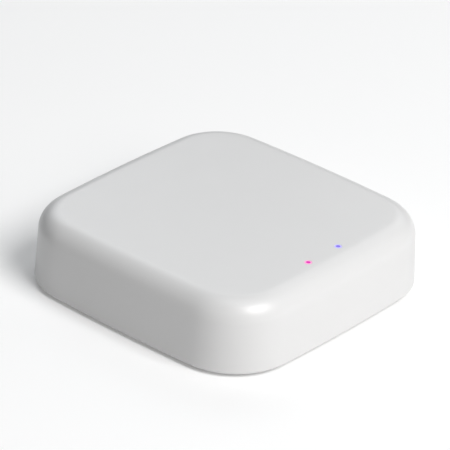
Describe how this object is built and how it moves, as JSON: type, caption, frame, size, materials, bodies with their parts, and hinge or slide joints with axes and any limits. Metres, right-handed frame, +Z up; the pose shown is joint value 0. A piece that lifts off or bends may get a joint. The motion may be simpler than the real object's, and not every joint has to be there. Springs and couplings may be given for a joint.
{
  "type": "smart home hub",
  "caption": "Square rounded smart home hub on rubber feet, with status lights in its lid, a rear power socket and a reset button.",
  "frame": {"origin": "on the table, under the middle of the box: the centre of the four feet's undersides", "axes": "+Z up; -Y is the front, the side nearest the status lights; +Y is the rear, with the power socket; +X is the right-hand side seen from the front"},
  "size_m": [0.09, 0.09, 0.0225],
  "materials": {
    "cover_plastic": "white ABS, satin gloss, very fine moulded grain",
    "base_plastic": "white ABS, fine spark-eroded grain",
    "foot_rubber": "light grey silicone rubber, matt",
    "label_film": "plain white film label, satin, unprinted",
    "screw_steel": "zinc-plated steel",
    "board_laminate": "glass-epoxy laminate under green solder mask",
    "module_laminate": "glass-epoxy laminate under dark blue solder mask",
    "can_steel": "tinned steel, satin",
    "bare_copper": "gold-flashed copper track",
    "solder": "bright tin solder",
    "usb_steel": "nickel-plated steel",
    "usb_insulator": "black glass-filled nylon",
    "gold_contact": "gold-plated copper alloy",
    "black_epoxy": "moulded black epoxy",
    "fuse_body": "dull green polymer fuse body",
    "ferrite": "dark grey sintered ferrite",
    "coil_copper": "enamelled copper wire",
    "capacitor_can": "bright aluminium",
    "capacitor_base": "black nylon",
    "tan_ceramic": "fired tan ceramic",
    "resistor_body": "black glazed ceramic",
    "led_body": "white epoxy with a clear yellow-white window",
    "light_pipe_left": "clear acrylic lit magenta from below",
    "light_pipe_right": "clear acrylic lit blue from below",
    "shield_rubber": "black silicone rubber",
    "button_plastic": "white ABS, satin",
    "switch_nylon": "dark glass-filled nylon",
    "switch_steel": "thin stainless steel",
    "switch_plunger": "grey acetal"
  },
  "bodies": {
    "housing": {"top_cover": "cover_plastic", "base_plate": "base_plastic", "foot_front_left": "foot_rubber", "foot_front_right": "foot_rubber", "foot_rear_left": "foot_rubber", "foot_rear_right": "foot_rubber", "blank_label": "label_film", "case_screws": "screw_steel", "main_board": "board_laminate", "board_screws": "screw_steel", "usb_shell": "usb_steel", "usb_insulator": "usb_insulator", "usb_contacts": "gold_contact", "wifi_board": "module_laminate", "wifi_shield_can": "can_steel", "wifi_antenna": "bare_copper", "radio_board": "module_laminate", "radio_shield_can": "can_steel", "radio_antenna": "bare_copper", "module_solder_joints": "solder", "input_fuse": "fuse_body", "surge_diode": "black_epoxy", "buck_regulator": "black_epoxy", "flash_memory": "black_epoxy", "chip_leads": "solder", "power_inductor": "ferrite", "inductor_winding": "coil_copper", "capacitor_cans": "capacitor_can", "capacitor_bases": "capacitor_base", "ceramic_capacitors": "tan_ceramic", "chip_resistors": "resistor_body", "passive_terminals": "solder", "crystal_can": "can_steel", "status_led_left": "led_body", "status_led_right": "led_body", "light_pipe_left": "light_pipe_left", "light_pipe_right": "light_pipe_right", "light_shield": "shield_rubber", "switch_housing": "switch_nylon", "switch_cover": "switch_steel", "switch_dome": "switch_steel", "switch_terminals": "solder"},
    "reset_key": {"reset_button": "button_plastic", "switch_plunger": "switch_plunger"}
  },
  "joints": [
    {"name": "reset_press", "type": "slide", "parent": "housing", "child": "reset_key", "axis": [0, -1, 0], "range_m": [0, 0.0003], "stiffness_N_per_m": 2000, "springref_m": -0.0003, "deforming": ["switch_dome"]}
  ]
}
